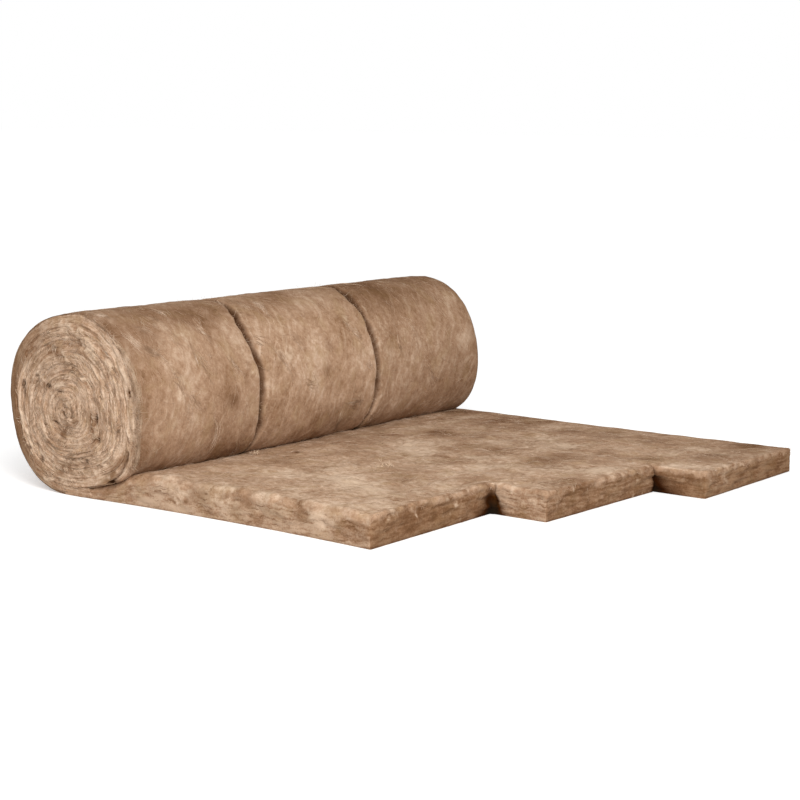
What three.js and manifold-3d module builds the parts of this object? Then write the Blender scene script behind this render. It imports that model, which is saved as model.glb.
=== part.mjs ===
// Insulation roll: one blanket of mineral wool, wound up into a roll, with its outer end laid out flat.
//
// Millimetres, +Z up. The roll lies along Y and the blanket runs out of it towards +X, resting on the floor at
// z = 0. The blanket is part-cut into lanes from its outer face: the cuts show as slits round the roll and along
// the underside of the laid part, and the lanes' free ends are trimmed in steps. While the part is modelled, x = 0
// is at the roll's eye and y = 0 at the end of the shortest lane's side. It is centred over the origin at the end.

import * as THREE from 'three';
import { mergeVertices } from 'three/addons/utils/BufferGeometryUtils.js';
import Module from 'manifold-3d';

// Blanket
const laneWidth = 380; // one lane, which fits between two joists
const laneCount = 3;
const nearThickness = 65; // of the laid part, which has swelled again, along the shortest lane's side
const farThickness = 51; // and along the longest lane's side
const firstLaneReach = 735; // from the roll's eye to the end of the shortest lane
const laneStep = 122; // by which each next lane is longer
const sideBow = 14; // by which the laid part's long sides draw in at mid-length
const waveHeight = 1.5; // soft waves across the laid top
const wavePitch = 85;
const laidEdgeRadius = 12;

// Roll
const rollRadius = 188; // where the outermost turn leaves the floor, measured before the roll slumps
const turnPitch = 22; // thickness of one wound turn
const eyeRadius = 14; // of the tight core where the winding began
const rollEdgeRadius = 8;

// How the soft roll slumps under its own weight
const middleSag = 12; // of the roll's middle
const topSag = 8; // and of its top
const cornerSwell = 7; // by which the round roll turns a little square
const cornerTilt = -12; // degrees by which that square is turned
const footBulge = 9; // of the outermost turn over the crease
const footBulgeAngle = 308; // degrees round the winding
const footBulgeSpread = 20;
const eyeDrop = 11; // the inner turns rest low in the outer ones
const eyeDrift = -9; // and a little away from the laid part

// Crease between the roll and the laid part
const creaseHeight = 50;
const swellLength = 55; // over which the blanket swells again as it leaves the crease

// Slits between the lanes, round the outside
const slitMouth = 20; // between the soft shoulders
const slitWidth = 6; // halfway down
const slitFloorWidth = 2;
const slitDepth = 18;
const slitWander = 8; // of the knife, from side to side

// Seams between the turns, on both ends of the roll
const seamMouth = 9;
const seamWidth = 4;
const seamFloorWidth = 1;
const seamDepth = 12;

// How finely the curves are divided
const degreesPerFacet = 5;
const facetsPerWave = 5;
const edgeFacets = 3;
const grooveFacets = 1; // on each shoulder
const slitFacetLength = 24;
const seamFacetLength = 18;
const cutterMargin = 2; // by which a cutting tool stands out of the face that it cuts

// Worked out from these
const fullTurn = 2 * Math.PI;
const blanketWidth = laneCount * laneWidth;
const windingEnd = (rollRadius - eyeRadius) / turnPitch * fullTurn;
const laneReach = (lane) => firstLaneReach + lane * laneStep;

// The winding: the blanket's outer face at an angle that starts where the roll touches the floor and grows over
// the far side and the top. A plain spiral is squared a little and swelled at its foot, and then sinks.
function windingPoint(angle) {
  const spiralRadius = rollRadius - turnPitch * angle / fullTurn;
  const share = spiralRadius / rollRadius;
  const corner = (1 - Math.cos(4 * (angle - THREE.MathUtils.degToRad(cornerTilt)))) / 2;
  const degreesFromFoot = THREE.MathUtils.radToDeg(angle % fullTurn) - footBulgeAngle;
  const foot = Math.exp(-((degreesFromFoot / footBulgeSpread) ** 2));
  const radius = spiralRadius + share * (cornerSwell * corner + footBulge * foot * share);
  const inward = 1 - share;
  const across = -radius * Math.sin(angle) + eyeDrift * inward;
  const rise = -radius * Math.cos(angle);
  return new THREE.Vector2(across, Math.max(0, sunkHeight(rise) - eyeDrop * inward));
}

// Height of a point at a rise above the roll's middle, which sags more than the top while the foot stays put.
function sunkHeight(rise) {
  const topRise = rollRadius - turnPitch / 2;
  const footStretch = 1 - middleSag / rollRadius;
  const topStretch = 1 + (middleSag - topSag) / topRise;
  const stretch = THREE.MathUtils.mapLinear(rise, -rollRadius, topRise, footStretch, topStretch);
  return rollRadius - middleSag + rise * stretch;
}

// The angle at which the outermost turn, coming down on the laid side, has sunk to a height.
function angleAtHeight(height) {
  let above = 0.75 * fullTurn;
  let below = fullTurn;
  for (let halving = 0; halving < 40; halving += 1) {
    const middle = (above + below) / 2;
    if (windingPoint(middle).y > height) {
      above = middle;
    } else {
      below = middle;
    }
  }
  return above;
}

const creaseAngle = angleAtHeight(creaseHeight);
const crease = windingPoint(creaseAngle);

// The laid part swells as it runs out of the crease: from none there to the whole of it.
const swelling = (x) => 1 - Math.exp(-Math.max(0, x - crease.x) / swellLength);

// Height of the laid top along its thick side: it swells out of the crease and runs on in soft waves.
function laidTop(x) {
  const wave = waveHeight * (Math.sin(fullTurn * (x - crease.x) / wavePitch) - 1);
  return creaseHeight + (nearThickness - creaseHeight + wave) * swelling(x);
}

// The laid part gets evenly thinner from side to side.
const thinning = (y) => (nearThickness - farThickness) * y / blanketWidth;

// Solids

const wasm = await Module();
wasm.setup();

function solidFrom(geometry) {
  geometry.deleteAttribute('normal');
  geometry.deleteAttribute('uv');
  const welded = mergeVertices(geometry, 1e-4);
  const vertProperties = new Float32Array(welded.attributes.position.array);
  const triVerts = new Uint32Array(welded.index.array);
  return new wasm.Manifold(new wasm.Mesh({ numProp: 3, vertProperties, triVerts }));
}

function geometryFrom(solid) {
  const { numProp, vertProperties, triVerts } = solid.getMesh();
  const buffer = new THREE.InterleavedBuffer(vertProperties, numProp);
  const geometry = new THREE.BufferGeometry();
  geometry.setAttribute('position', new THREE.InterleavedBufferAttribute(buffer, 3, 0));
  geometry.setIndex(new THREE.BufferAttribute(triVerts, 1));
  return geometry.toNonIndexed();
}

// A section drawn in x and z, run along y from 0 to the blanket's width, with its ends rounded over.
function acrossBlanket(section, endRadius) {
  const geometry = new THREE.ExtrudeGeometry(section, {
    depth: blanketWidth - 2 * endRadius,
    bevelEnabled: endRadius > 0,
    bevelThickness: endRadius,
    bevelSize: endRadius,
    bevelOffset: -endRadius,
    bevelSegments: edgeFacets,
  });
  geometry.rotateX(Math.PI / 2);
  geometry.translate(0, blanketWidth - endRadius, 0);
  return geometry;
}

// The roll: its outermost turn from the floor round to below the crease, closed inside the laid part.
function makeRoll() {
  const lastAngle = angleAtHeight(creaseHeight / 2);
  const facets = Math.ceil(lastAngle / THREE.MathUtils.degToRad(degreesPerFacet));
  const outline = [];
  for (let facet = 0; facet <= facets; facet += 1) {
    outline.push(windingPoint(lastAngle * facet / facets));
  }
  outline.push(new THREE.Vector2(outline.at(-1).x, 0));
  return solidFrom(acrossBlanket(new THREE.Shape(outline), rollEdgeRadius));
}

// Lowers the upper points of a geometry by an amount that depends on where they are.
function lowerTop(geometry, floorHeight, amountAt) {
  const { position } = geometry.attributes;
  for (let i = 0; i < position.count; i += 1) {
    const height = position.getZ(i);
    if (height > floorHeight) {
      position.setZ(i, height - amountAt(position.getX(i), position.getY(i)));
    }
  }
  return geometry;
}

// The laid part is what a side view and a plan view have in common. Both start under the roll, where the blanket
// is one turn thick.
function makeLaidPart() {
  const start = windingPoint(fullTurn);
  const longestReach = laneReach(laneCount - 1);

  const sideView = [new THREE.Vector2(start.x, 0), start];
  const facets = Math.ceil((longestReach - crease.x) / wavePitch * facetsPerWave);
  for (let facet = 0; facet <= facets; facet += 1) {
    const x = THREE.MathUtils.lerp(crease.x, longestReach, facet / facets);
    sideView.push(new THREE.Vector2(x, laidTop(x)));
  }
  sideView.push(new THREE.Vector2(longestReach, 0));
  const side = acrossBlanket(new THREE.Shape(sideView), 0);
  lowerTop(side, 0, (x, y) => thinning(y) * swelling(x));

  const planStart = start.x - laidEdgeRadius;
  const planView = new THREE.Shape();
  planView.moveTo(planStart, 0);
  planView.quadraticCurveTo((planStart + firstLaneReach) / 2, 2 * sideBow, firstLaneReach, 0);
  for (let lane = 0; lane < laneCount; lane += 1) {
    planView.lineTo(laneReach(lane), lane * laneWidth);
    planView.lineTo(laneReach(lane), (lane + 1) * laneWidth);
  }
  const farBow = new THREE.Vector2((planStart + longestReach) / 2, blanketWidth - 2 * sideBow);
  planView.quadraticCurveTo(farBow.x, farBow.y, planStart, blanketWidth);
  const plan = new THREE.ExtrudeGeometry(planView, {
    depth: nearThickness,
    bevelThickness: laidEdgeRadius,
    bevelSize: laidEdgeRadius,
    bevelOffset: -laidEdgeRadius,
    bevelSegments: edgeFacets,
  });
  plan.translate(0, 0, -laidEdgeRadius);
  lowerTop(plan, 0, (x, y) => thinning(y));

  return solidFrom(side).intersect(solidFrom(plan));
}

// A groove's section, with rounded shoulders: the first axis points out of the face, the second across the groove.
function grooveSection(mouth, width, floorWidth, depth, outward) {
  const section = new THREE.Shape();
  section.moveTo(outward * cutterMargin, mouth / 2);
  section.lineTo(0, mouth / 2);
  section.quadraticCurveTo(-outward * depth / 8, width / 2, -outward * depth / 2, width / 2);
  section.lineTo(-outward * depth, floorWidth / 2);
  section.lineTo(-outward * depth, -floorWidth / 2);
  section.lineTo(-outward * depth / 2, -width / 2);
  section.quadraticCurveTo(-outward * depth / 8, -width / 2, 0, -mouth / 2);
  section.lineTo(outward * cutterMargin, -mouth / 2);
  return section;
}

function sweep(section, path, facetLength) {
  const steps = Math.ceil(path.getLength() / facetLength);
  return solidFrom(new THREE.ExtrudeGeometry(section, { steps, curveSegments: grooveFacets, extrudePath: path }));
}

// A slit runs from the free end of the shorter lane along the underside, then round the roll to the crease.
class SlitPath extends THREE.Curve {
  constructor(lane) {
    super();
    this.lane = lane;
    this.floorStart = laneReach(lane) + cutterMargin;
    this.floorShare = this.floorStart / (this.floorStart + rollRadius * creaseAngle);
  }

  getPoint(t, target = new THREE.Vector3()) {
    const edge = (this.lane + 1) * laneWidth;
    if (t < this.floorShare) {
      const x = THREE.MathUtils.lerp(this.floorStart, windingPoint(0).x, t / this.floorShare);
      return target.set(x, edge, 0);
    }
    const angle = creaseAngle * (t - this.floorShare) / (1 - this.floorShare);
    const { x, y: height } = windingPoint(angle);
    const drift = slitWander * (Math.cos(2 * angle) - 1) / 2;
    return target.set(x, edge + drift, height);
  }
}

// A seam follows the winding on one end of the roll, from the crease in to the eye.
class SeamPath extends THREE.Curve {
  constructor(endY) {
    super();
    this.endY = endY;
  }

  getPoint(t, target = new THREE.Vector3()) {
    const { x, y: height } = windingPoint(THREE.MathUtils.lerp(creaseAngle, windingEnd, t));
    return target.set(x, this.endY, height);
  }
}

function makeBlanket() {
  let blanket = makeRoll().add(makeLaidPart());
  const slit = grooveSection(slitMouth, slitWidth, slitFloorWidth, slitDepth, 1);
  for (let lane = 0; lane < laneCount - 1; lane += 1) {
    blanket = blanket.subtract(sweep(slit, new SlitPath(lane), slitFacetLength));
  }
  for (const [endY, outward] of [[0, 1], [blanketWidth, -1]]) {
    const seam = grooveSection(seamMouth, seamWidth, seamFloorWidth, seamDepth, outward);
    blanket = blanket.subtract(sweep(seam, new SeamPath(endY), seamFacetLength));
  }
  return blanket;
}

const woolMaterial = new THREE.MeshStandardMaterial({ color: 0xaa876a, roughness: 0.95, metalness: 0 });

const blanket = new THREE.Mesh(geometryFrom(makeBlanket()), woolMaterial);
blanket.name = 'blanket';

blanket.geometry.computeBoundingBox();
const centre = blanket.geometry.boundingBox.getCenter(new THREE.Vector3());
blanket.position.set(-centre.x, -centre.y, 0);

const insulationRoll = new THREE.Group();
insulationRoll.add(blanket);

export default insulationRoll;
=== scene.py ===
import bpy
import numpy as np
from mathutils import Matrix, Vector


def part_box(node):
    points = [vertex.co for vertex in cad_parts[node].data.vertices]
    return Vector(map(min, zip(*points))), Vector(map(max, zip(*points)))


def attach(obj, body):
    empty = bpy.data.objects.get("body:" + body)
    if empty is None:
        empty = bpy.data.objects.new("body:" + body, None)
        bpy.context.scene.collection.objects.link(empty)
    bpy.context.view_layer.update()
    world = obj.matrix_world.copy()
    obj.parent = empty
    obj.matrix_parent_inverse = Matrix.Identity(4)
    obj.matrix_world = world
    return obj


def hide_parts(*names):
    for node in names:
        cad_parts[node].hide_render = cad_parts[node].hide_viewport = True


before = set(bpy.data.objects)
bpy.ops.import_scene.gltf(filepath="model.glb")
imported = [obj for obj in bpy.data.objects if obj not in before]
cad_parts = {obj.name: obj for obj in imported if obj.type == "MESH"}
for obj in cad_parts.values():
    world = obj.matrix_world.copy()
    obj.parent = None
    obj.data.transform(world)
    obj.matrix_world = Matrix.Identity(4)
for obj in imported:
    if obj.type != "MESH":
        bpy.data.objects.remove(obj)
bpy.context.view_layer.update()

# View
# The roll is looked at from a little above, along its lanes' free ends, with a long lens that shows one end
# of the roll, the whole of its face and the laid part with its three stepped lanes.
camera_place = Vector((2.3196, -3.1325, 0.7605))
camera_yaw = 0.6434
camera_pitch = 0.1522
camera_roll = 0.0086
view_lens = 86.26
sensor_width = 36
view_reach = 60

ahead = Vector((
    -np.sin(camera_yaw) * np.cos(camera_pitch),
    np.cos(camera_yaw) * np.cos(camera_pitch),
    -np.sin(camera_pitch),
))
level_side = ahead.cross(Vector((0, 0, 1))).normalized()
level_up = level_side.cross(ahead)
camera_side = np.cos(camera_roll) * level_side + np.sin(camera_roll) * level_up
camera_up = np.cos(camera_roll) * level_up - np.sin(camera_roll) * level_side
camera_data = bpy.data.cameras.new("view")
camera_data.lens = view_lens
camera_data.sensor_width = sensor_width
camera_data.clip_end = view_reach
camera = bpy.data.objects.new("view", camera_data)
bpy.context.collection.objects.link(camera)
camera_axes = Matrix((camera_side, camera_up, -ahead)).transposed().to_4x4()
camera.matrix_world = Matrix.Translation(camera_place) @ camera_axes
bpy.context.scene.camera = camera

# Outermost turn
# The blanket of glass wool, seen from its outer face: it runs from the floor up the back of the roll, over
# the top and down to the crease. It is part-cut into three lanes, so two slits with soft lips go round it.
blanket_low, blanket_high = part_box("blanket")
blanket_width = blanket_high.y - blanket_low.y
near_end = blanket_low.y
lane_count = 3
lane_width = blanket_width / lane_count
lane_step = 0.122
first_reach = 0.735
lane_reaches = [first_reach + lane * lane_step for lane in range(lane_count)]
eye_line = blanket_high.x - lane_reaches[-1]

# The spiral, in metres: it is slumped, a little squared, swelled over the crease, and drawn aside at its eye.
roll_radius = 0.188
turn_pitch = 0.022
eye_radius = 0.014
middle_sag = 0.012
top_sag = 0.008
corner_swell = 0.007
corner_tilt = np.radians(-12)
foot_bulge_near = 0.018
foot_bulge_far = 0.003
foot_bulge_angle = 308
foot_bulge_spread = 20
eye_wobble = 0.0045
eye_drop = 0.011
eye_drift = -0.022
full_turn = 2 * np.pi
winding_end = (roll_radius - eye_radius) / turn_pitch * full_turn

turn_step = 0.005
outer_start = np.radians(-15)
outer_end = np.radians(365)
end_thinning = 0.002
end_run = np.radians(8)
loft = 0.06
edge_depth = 0.0055
rim_depth = 0.0065
shoulder_depth = 0.006
lane_crown = 0.0015

# The slits, by their angle round the roll in degrees. They are shallow low on the back, where the turns lie
# close, and at the foot, where they are also narrow and fade.
slit_depth = 0.018
slit_half_width = 0.0070
slit_squareness = 6
slit_waver = 0.18
slit_tear = 0.30
slit_seed = 60
slit_foot = (276, 309)
slit_narrowing = (1, 0.80)
slit_turns = (95, 120, 276, 309)
slit_shallows = (0.72, 1, 1, 0.70)
# Painted shade darkens the slits' hollows: a strength for each slit, and shares of it from one angle to the
# next.
slit_darks = [0.85, 0.79]
slit_fade = (250, 290)
slit_fade_shares = (1.06, 0.92)

# Painted shade darkens the lanes, most over the top and on the far one. On the near end a smooth band lies
# low on the back, darkened by painted shade as it turns from the light, and the rim at the front is torn.
band_angle = 85
band_spread = 62
rim_angle = 262
near_side = 0.1
top_angle = 178
top_spread = 34
lane_painted_shades = [0.15, 0, 0.28]
lane_top_painted_shades = [0.36, 0.36, 0.57]
pit_depth = 0.009
# How dark painted shade makes the pits.
pit_painted_shade = 0.90
tuft_stand = 0.0022
brown_strength = 1.4
lattice = np.random.default_rng(11).uniform(-1, 1, (32, 32, 32))


def lumps(place, cell, seed, octaves=1):
    """Soft random heights, about -1 to 1: the eight lattice values round a point are blended by the ease
    3f^2 - 2f^3 of its place between them, and each further octave halves the cell and the height."""
    total = np.zeros(place.shape[:-1])
    for octave in range(octaves):
        scaled = place / np.asarray(cell) * 2 ** octave + 7.31 * (seed + 1) * (octave + 1)
        corner = np.floor(scaled).astype(int)
        share = scaled - corner
        share = share * share * (3 - 2 * share)
        for side in np.ndindex(2, 2, 2):
            index = (corner + side) % len(lattice)
            weight = np.where(side, share, 1 - share).prod(axis=-1)
            total += 0.5 ** octave * weight * lattice[index[..., 0], index[..., 1], index[..., 2]]
    return total


def blotches(place, cell, seed, base, gain, octaves=1):
    """Soft random shares, 0 to 1: a base and so much of the lumps, held between the two."""
    return np.clip(base + gain * lumps(place, cell, seed, octaves), 0, 1)


def bell(value, middle, spread):
    """1 at the middle and falling away to both sides, as e to minus the square of the distance in spreads."""
    return np.exp(-((value - middle) / spread) ** 2)


def ramp(value, run):
    """0 up to a value of 0, and from there straight up to 1 over a run."""
    return np.clip(value / run, 0, 1)


def fading(value, run):
    """1 up to a value of 0, and from there e times less with each run."""
    return np.exp(-np.maximum(value, 0) / run)


def graded(ends, coarse, fine, reach):
    """Places from each end to the next one, whose step grows from fine at both to coarse, over a reach from
    each."""
    places = []
    for start, end in zip(ends, ends[1:]):
        samples = np.linspace(start, end, 4000)
        inside = np.minimum(samples - start, end - samples)
        step = fine + (coarse - fine) * ramp(inside, reach)
        passed = np.concatenate([[0], np.cumsum(np.diff(samples) / step[1:])])
        steps = np.linspace(0, passed[-1], int(round(passed[-1])) + 1)[:-1]
        places.append(np.interp(steps, passed, samples))
    return np.concatenate(places + [ends[-1:]])


def winding(angle, across):
    """Place (from the eye line, height) of the blanket's outer face at an angle that starts at the floor and
    grows over the back: a spiral r = R - pitch * turns, squared a little, swelled at its foot by a bulge that
    fades from the near end to the far one, and then sunk so that the middle sags most."""
    share = np.maximum(1 - turn_pitch * angle / full_turn / roll_radius, 0.01)
    corner = (1 - np.cos(4 * (angle - corner_tilt))) / 2
    bulge = foot_bulge_near + (foot_bulge_far - foot_bulge_near) * across / blanket_width
    foot = bell(np.degrees(angle % full_turn), foot_bulge_angle, foot_bulge_spread)
    radius = share * (roll_radius + corner_swell * corner + bulge * foot * share)
    along = np.stack([angle, angle * 0, angle * 0], axis=-1)
    radius = radius + eye_wobble * (1 - share) * lumps(along, 0.45, 14)
    rise = -radius * np.cos(angle)
    foot_stretch = 1 - middle_sag / roll_radius
    top_rise = roll_radius - turn_pitch / 2
    top_stretch = 1 + (middle_sag - top_sag) / top_rise
    stretch = foot_stretch + (top_stretch - foot_stretch) * (rise + roll_radius) / (top_rise + roll_radius)
    height = roll_radius - middle_sag + rise * stretch - eye_drop * (1 - share)
    return -radius * np.sin(angle) + eye_drift * (1 - share), np.maximum(height, 0)


def blanket_length(angle):
    """Length of blanket wound up to an angle: the area under the spiral's radius."""
    return angle * (roll_radius - turn_pitch * angle / full_turn / 2)


# Each slit's bends: (angle round the roll in degrees, how far it strays towards the far end).
slit_bends = [
    [(185, 0.004), (204, 0.002), (216, -0.015), (228, -0.019), (240, -0.015), (253, -0.008), (266, -0.010),
     (280, -0.017), (293, -0.016), (299, -0.018), (304, -0.021), (309, -0.024), (316, -0.028), (335, -0.020)],
    [(130, 0), (160, 0.022), (178, 0.030), (190, 0.020), (197, 0.012), (211, 0), (225, 0), (237, -0.001),
     (248, -0.001), (262, -0.001), (277, -0.005), (289, -0.009), (294, -0.015), (299, -0.017), (304, -0.020),
     (309, -0.022), (316, -0.023), (335, -0.015)],
]


def slit_offset(cut, angle):
    """How far a slit strays sideways round the roll, drawn through its bends."""
    return np.interp(np.degrees(angle), *np.transpose(slit_bends[cut]))


def blanket_place(angle, depth, across):
    """Point of the wound blanket at a depth from its outer face, 0, to its inner one, 1: straight between the
    winding here and the winding one turn further in."""
    outer = winding(angle, across)
    inner = winding(angle + full_turn, across)
    x = outer[0] + (inner[0] - outer[0]) * depth
    z = outer[1] + (inner[1] - outer[1]) * depth
    return np.stack([eye_line + x, near_end + across, z], axis=-1)


def section_loop(outer_places, inner_places, edge_count):
    """(place across, depth, hollow) of points round the blanket's section: along the outer face, round the
    far edge, back along the inner face and round the near edge. Each edge is a squarish half round. Hollow is
    how far it falls back from its crest, 0, to its seams, 1 at the far edge and -1 at the near one."""
    turn = np.linspace(0, np.pi, edge_count + 2)[1:-1]
    fallen = np.abs(np.cos(turn)) ** 5
    edge_share = (1 - np.cos(turn)) / 2
    outer, inner = np.zeros(len(outer_places)), np.zeros(len(inner_places))
    across = [outer_places, fallen * 0 + blanket_width, inner_places[::-1], fallen * 0]
    depth = [outer, edge_share, inner + 1, edge_share[::-1]]
    hollow = [outer, fallen, inner, -fallen]
    return tuple(np.concatenate(parts) for parts in (across, depth, hollow))


def strip_faces(stations, points):
    """Quads of a grid of stations by points that closes round its points, with a face over each end."""
    row = np.arange(stations - 1)[:, None] * points
    here = np.arange(points)[None, :]
    after = (here + 1) % points
    quads = np.stack([row + here, row + points + here, row + points + after, row + after], axis=-1)
    first_end = list(range(points))
    last_end = list(range(stations * points - 1, (stations - 1) * points - 1, -1))
    return quads.reshape(-1, 4).tolist() + [first_end, last_end]


def mesh_piece(name, places, faces, wool, marks):
    """A new object at the origin from whole arrays: its points, its faces, the points' places in the unrolled
    blanket (length, width, depth) and their marks, 0 for none and 1 for full: painted shade in hollows, slits
    and notches, which is black at 2, and a twig; how far cut across; painted shade and brown places where it
    is cut; tan and painted shade elsewhere; and how pale."""
    mesh = bpy.data.meshes.new(name)
    mesh.from_pydata(places.reshape(-1, 3), [], faces)
    attribute = mesh.attributes.new("wool", "FLOAT_VECTOR", "POINT")
    attribute.data.foreach_set("vector", wool.reshape(-1).astype(np.float32))
    for mark, values in marks.items():
        attribute = mesh.attributes.new(mark, "FLOAT", "POINT")
        attribute.data.foreach_set("value", values.reshape(-1).astype(np.float32))
    mesh.shade_smooth()
    mesh.update()
    piece = bpy.data.objects.new(name, mesh)
    bpy.context.collection.objects.link(piece)
    return piece


def point_normals(piece):
    """The outward normals of a piece's points."""
    normals = np.empty(len(piece.data.vertices) * 3, np.float32)
    piece.data.vertex_normals.foreach_get("vector", normals)
    return normals.reshape(-1, 3).astype(float)


def move_out(piece, places, heights):
    """Moves each point along its normal by its height, and gives back the new places."""
    moved = places.reshape(-1, 3) + point_normals(piece) * heights.reshape(-1, 1)
    moved[:, 2] = np.maximum(moved[:, 2], 0)
    piece.data.vertices.foreach_set("co", moved.reshape(-1).astype(np.float32))
    piece.data.update()
    return moved.reshape(places.shape)


def nap(wool):
    """Height of the wool's faces: broad hollows, hand-sized lumps and small tufts, in metres."""
    broad = 0.0008 * lumps(wool, (0.17, 0.15, 0.5), 1)
    lump = 0.0008 * lumps(wool, (0.060, 0.055, 0.2), 2, octaves=2)
    tuft = 0.0009 * lumps(wool, (0.018, 0.015, 0.05), 3, octaves=2)
    return broad + lump + tuft


def edge_nap(wool, places, depth):
    """Height of the cut edges: soft lumps that run on over the seams, and between the seams the layers, which
    show as thin ridges. At the seams hollows are nearly filled, so that the turns stay in touch."""
    stand = 0.0010 * lumps(places, 0.060, 4)
    ragged = 0.0020 * lumps(places, 0.022, 5, octaves=2)
    layer = 0.0034 * lumps(wool, (0.036, 0.036, 0.0085), 6, octaves=3)
    height = stand + ragged + layer * (1 - 0.9 * (2 * depth - 1) ** 4)
    return np.where(height < 0, height * (1 - 0.9 * (2 * depth - 1) ** 8), height)


# Strokes on the near end, one for each pit, whitish tuft or brown place: (from the eye line, height) of both
# ends and then its size. Painted shade darkens the pits, and one brown place is a painted shadow.
end_pits = [
    (-0.138, 0.211, -0.138, 0.207, 0.0058), (-0.136, 0.197, -0.137, 0.186, 0.0038),
    (-0.07, 0.212, -0.067, 0.21, 0.0034), (-0.107, 0.228, -0.096, 0.23, 0.0025),
    (-0.043, 0.203, -0.029, 0.205, 0.0026), (-0.091, 0.066, -0.09, 0.063, 0.0044),
    (-0.103, 0.091, -0.102, 0.089, 0.003), (-0.123, 0.084, -0.122, 0.083, 0.003),
    (-0.054, 0.143, -0.042, 0.14, 0.0022), (0.063, 0.165, 0.064, 0.152, 0.0034),
    (0.07, 0.119, 0.07, 0.116, 0.0042), (0.035, 0.074, 0.034, 0.072, 0.0032),
    (0.154, 0.221, 0.154, 0.214, 0.0036), (0.151, 0.13, 0.151, 0.122, 0.0022),
    (0.149, 0.103, 0.141, 0.086, 0.0026), (0.138, 0.079, 0.118, 0.052, 0.0024),
    (0.112, 0.046, 0.092, 0.032, 0.003),
]
end_tufts = [
    (0.038, 0.312, 0.056, 0.294, 0.012), (0.046, 0.308, 0.065, 0.294, 0.004),
    (0.056, 0.264, 0.074, 0.24, 0.004), (0.031, 0.236, 0.044, 0.232, 0.006),
    (0.099, 0.275, 0.125, 0.232, 0.005), (0.139, 0.262, 0.15, 0.244, 0.006),
    (0.083, 0.213, 0.083, 0.207, 0.004), (-0.057, 0.211, -0.037, 0.214, 0.006),
    (0.168, 0.234, 0.168, 0.173, 0.0032), (0.168, 0.173, 0.166, 0.13, 0.003),
    (0.166, 0.131, 0.155, 0.128, 0.003), (0.15, 0.148, 0.153, 0.134, 0.003),
    (-0.012, 0.181, -0.007, 0.154, 0.007), (0.104, 0.104, 0.087, 0.078, 0.006),
    (0.087, 0.078, 0.065, 0.056, 0.006), (0.062, 0.13, 0.062, 0.127, 0.005),
    (0.07, 0.107, 0.069, 0.103, 0.005), (-0.145, 0.152, -0.137, 0.125, 0.003),
    (-0.137, 0.125, -0.115, 0.085, 0.004), (-0.082, 0.026, -0.033, 0.026, 0.005),
    (-0.024, 0.282, -0.016, 0.273, 0.004), (-0.099, 0.236, -0.079, 0.222, 0.0035),
    (0.1, 0.27, 0.14, 0.205, 0.018), (-0.093, 0.165, -0.08, 0.11, 0.015), (-0.06, 0.332, 0.02, 0.336, 0.016),
    (0.02, 0.32, 0.06, 0.285, 0.015),
]
end_browns = [
    (-0.115, 0.275, -0.085, 0.215, 0.022), (-0.06, 0.29, -0.01, 0.26, 0.015),
    (0.048, 0.17, 0.062, 0.125, 0.012), (0.01, 0.15, -0.03, 0.118, 0.014),
    # This first stroke is a painted shadow in the valley between the outermost turn and the next, low at the
    # front.
    (0.135, 0.085, 0.085, 0.034, 0.012), (0.03, 0.06, -0.04, 0.05, 0.014),
]
# Soft patches on the outer face: (angle, place across, spread in degrees, spread across, how pale). Where
# the last is below 0, the patch is brown.
face_patches = [
    (217, 0.018, 12, 0.03, -0.55), (221, 0.08, 9, 0.035, -0.45), (207, 0.23, 12, 0.09, -0.45),
    (198, 0.5, 14, 0.16, -0.2), (270, 0.278, 6, 0.016, -0.6), (307, 0.27, 9, 0.07, -0.5),
    (300, 0.03, 10, 0.04, -0.4), (214, 0.145, 6, 0.02, 0.45), (226, 0.185, 8, 0.016, 0.45),
    (241, 0.11, 9, 0.02, 0.35), (262, 0.125, 7, 0.02, 0.45), (240, 0.335, 14, 0.018, 0.4),
    (246, 0.455, 9, 0.045, 0.6), (240, 0.545, 9, 0.02, 0.35), (243, 0.6, 5, 0.012, -0.5),
    (261, 0.576, 5, 0.012, -0.55), (278, 0.48, 18, 0.1, 0.25), (298, 0.64, 10, 0.06, -0.35),
    (283, 0.69, 8, 0.02, 0.35), (228, 0.69, 9, 0.02, 0.45), (212, 0.86, 14, 0.12, -0.35),
    (250, 0.93, 20, 0.09, 0.22), (275, 1.06, 20, 0.06, -0.25), (238, 0.8, 9, 0.025, 0.3),
    # This last patch is painted shade on the face just past the near rim.
    (262, 0.02, 26, 0.02, -0.4),
]
full_stroke = 0.009
small_stroke = 0.0050
small_stroke_whole = 0.8


def stroked(places, on_edge, strokes):
    """How near each point of the near end's face lies to some strokes, 0 to 1: for each, from (x, z) to
    (x, z) and so wide, a bell of the distance from its line. Wide strokes are weaker and broken."""
    flat = np.stack([places[..., 0] - eye_line, places[..., 2]], axis=-1)
    near = on_edge & (places[..., 1] < 0)
    total = np.zeros(near.shape)
    broken = blotches(places, 0.009, 33, 0.75, 1.3)
    for *ends, size in strokes:
        start, run = np.array(ends[:2]), np.subtract(ends[2:], ends[:2])
        share = np.clip((flat - start) @ run / (run @ run), 0, 1)
        away = np.linalg.norm(flat - start - share[..., None] * run, axis=-1)
        whole = small_stroke_whole if size < small_stroke else 0
        total += min(1, full_stroke / size) * bell(away, 0, size) * (whole + (1 - whole) * broken)
    return np.where(near, np.clip(total, 0, 1), 0)


def wound_points(angle, length, depth, across):
    """Points of the wound blanket: their places, their places in the unrolled blanket, whether they lie on a
    cut edge, and how near to a pit, a tuft and a brown place they lie."""
    places = blanket_place(angle, depth, across)
    wool = np.stack([length, across, depth * loft], axis=-1)
    on_edge = (depth > 0) & (depth < 1)
    near = [stroked(places, on_edge, strokes) for strokes in (end_pits, end_tufts, end_browns)]
    return places, wool, on_edge, *near


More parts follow.
